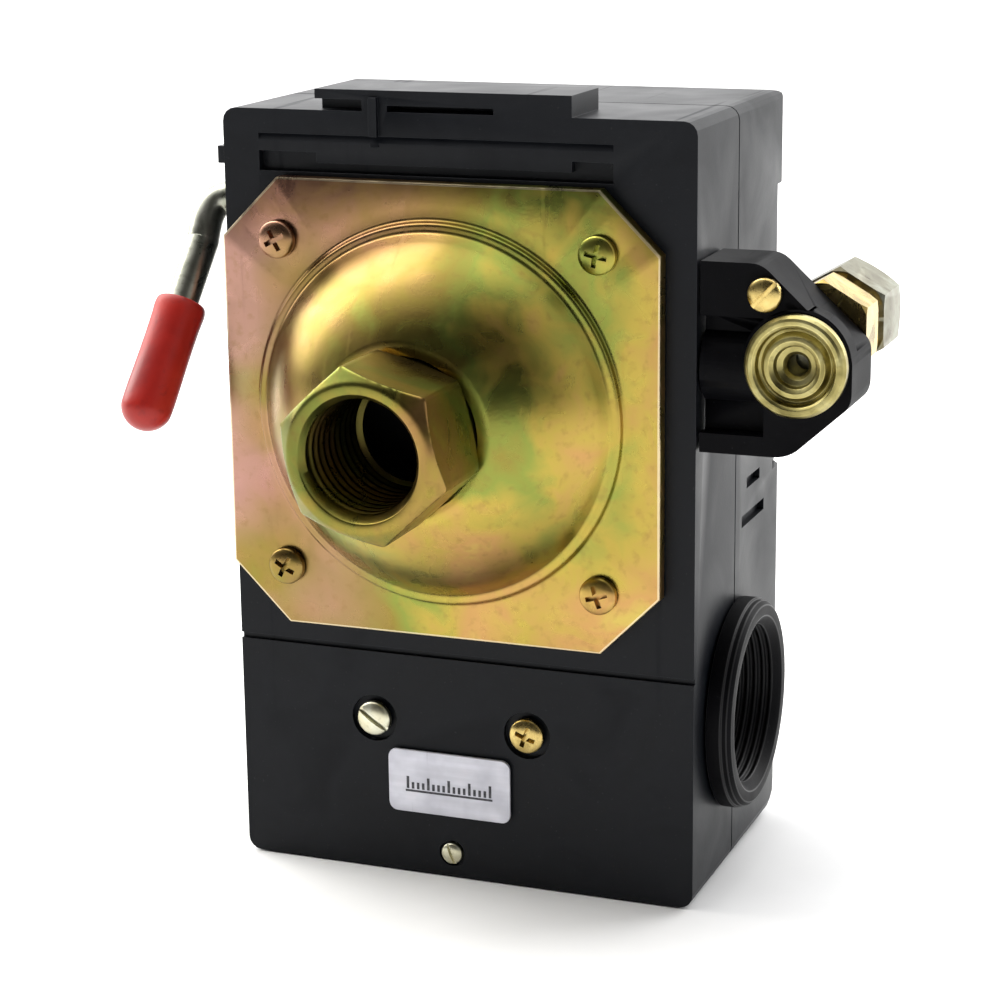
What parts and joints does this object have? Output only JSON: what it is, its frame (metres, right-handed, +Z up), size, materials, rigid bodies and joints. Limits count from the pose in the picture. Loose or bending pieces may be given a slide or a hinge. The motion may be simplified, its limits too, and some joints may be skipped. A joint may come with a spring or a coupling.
{
  "type": "pressure switch",
  "caption": "Air compressor pressure switch: boxy housing, domed flange with a hexagonal pressure port, side unloader valve and wire on/off lever.",
  "frame": {"origin": "on the flat lower end of the housing, at mid depth, below the pressure port's axis", "axes": "+X to the right towards the unloader valve, +Y to the back, the pressure port opens towards -Y, +Z up along the housing"},
  "size_m": [0.0847, 0.0632, 0.0934],
  "materials": {
    "housing": "moulded black, slightly worn",
    "inner_plastic": "brown moulding compound",
    "yellow_zinc": "yellow chromated zinc with green and pink shades",
    "zinc": "bright zinc",
    "brass": "turned brass",
    "red_grip": "dipped vinyl",
    "rubber": "reinforced sheet",
    "label": "blank pale foil"
  },
  "bodies": {
    "housing": {"housing_base": "housing", "cover": "housing", "conduit_collar": "housing", "label_plate": "label", "cover_post_1": "zinc", "cover_post_2": "zinc", "cover_screw_1": "zinc", "cover_screw_2": "zinc", "flange_cap": "yellow_zinc", "port_fitting": "yellow_zinc", "flange_screw_1": "yellow_zinc", "flange_screw_2": "yellow_zinc", "flange_screw_3": "yellow_zinc", "flange_screw_4": "yellow_zinc", "diaphragm": "rubber", "mechanism_frame": "zinc", "rocker_pin": "zinc", "carrier_pin": "zinc", "range_stud": "zinc", "differential_stud": "zinc", "range_spring": "zinc", "differential_spring": "zinc", "snap_spring": "zinc", "terminal_block": "inner_plastic", "terminal_strip_1": "brass", "terminal_strip_2": "brass", "terminal_strip_3": "brass", "terminal_strip_4": "brass", "terminal_screw_1": "zinc", "terminal_screw_2": "zinc", "terminal_screw_3": "zinc", "terminal_screw_4": "zinc", "block_screw_1": "brass", "block_screw_2": "brass", "ground_screw": "brass", "unloader_body": "housing", "unloader_screw": "brass", "exhaust_plug": "brass", "unloader_fitting": "brass", "valve_spring": "zinc", "compression_nut": "yellow_zinc"},
    "piston": {"piston": "inner_plastic"},
    "rocker": {"rocker": "zinc", "trip_finger": "zinc"},
    "carrier": {"contact_carrier": "inner_plastic", "contact_bridge_1": "brass", "contact_bridge_2": "brass"},
    "stem": {"valve_stem": "brass"},
    "lever": {"off_lever": "zinc", "lever_grip": "red_grip"},
    "range_seat": {"range_seat": "zinc"},
    "range_nut": {"range_nut": "zinc"},
    "differential_seat": {"differential_seat": "zinc"},
    "differential_nut": {"differential_nut": "zinc"}
  },
  "joints": [
    {"name": "piston_slide", "type": "slide", "parent": "housing", "child": "piston", "axis": [0, 1, 0], "range_m": [0, 0.0008], "stiffness_N_per_m": 20000, "springref_m": -0.005},
    {"name": "rocker_swing", "type": "hinge", "parent": "housing", "child": "rocker", "pos_m": [0, -0.0045, 0.044], "axis": [-1, 0, 0], "range_deg": [0, 3.6], "deforming": ["range_spring", "differential_spring"]},
    {"name": "carrier_swing", "type": "hinge", "parent": "housing", "child": "carrier", "pos_m": [0, -0.002, 0.036], "axis": [1, 0, 0], "range_deg": [0, 12.2], "deforming": ["snap_spring"]},
    {"name": "stem_slide", "type": "slide", "parent": "housing", "child": "stem", "axis": [0, 1, 0], "range_m": [0, 0.0015], "deforming": ["valve_spring"]},
    {"name": "lever_swing", "type": "hinge", "parent": "housing", "child": "lever", "pos_m": [0, -0.01275, 0.07975], "axis": [1, 0, 0], "range_deg": [0, 35]},
    {"name": "range_nut_turn", "type": "hinge", "parent": "range_seat", "child": "range_nut", "pos_m": [0, 0.009, 0.076], "axis": [0, 1, 0], "range_deg": [-722, 722]},
    {"name": "range_seat_slide", "type": "slide", "parent": "housing", "child": "range_seat", "axis": [0, 1, 0], "range_m": [-0.0016, 0.0016]},
    {"name": "differential_nut_turn", "type": "hinge", "parent": "differential_seat", "child": "differential_nut", "pos_m": [0.012, 0.005, 0.076], "axis": [0, 1, 0], "range_deg": [-722, 722]},
    {"name": "differential_seat_slide", "type": "slide", "parent": "housing", "child": "differential_seat", "axis": [0, 1, 0], "range_m": [-0.001, 0.001]}
  ],
  "couplings": [
    {"joint": "rocker_swing", "follows": "piston_slide", "rad_per_m": 76.923},
    {"joint": "carrier_swing", "follows": "piston_slide", "rad_per_m": 261.8},
    {"joint": "stem_slide", "follows": "piston_slide", "ratio": 1.7692},
    {"joint": "range_nut_turn", "follows": "range_seat_slide", "rad_per_m": 7854},
    {"joint": "differential_nut_turn", "follows": "differential_seat_slide", "rad_per_m": 12566}
  ]
}
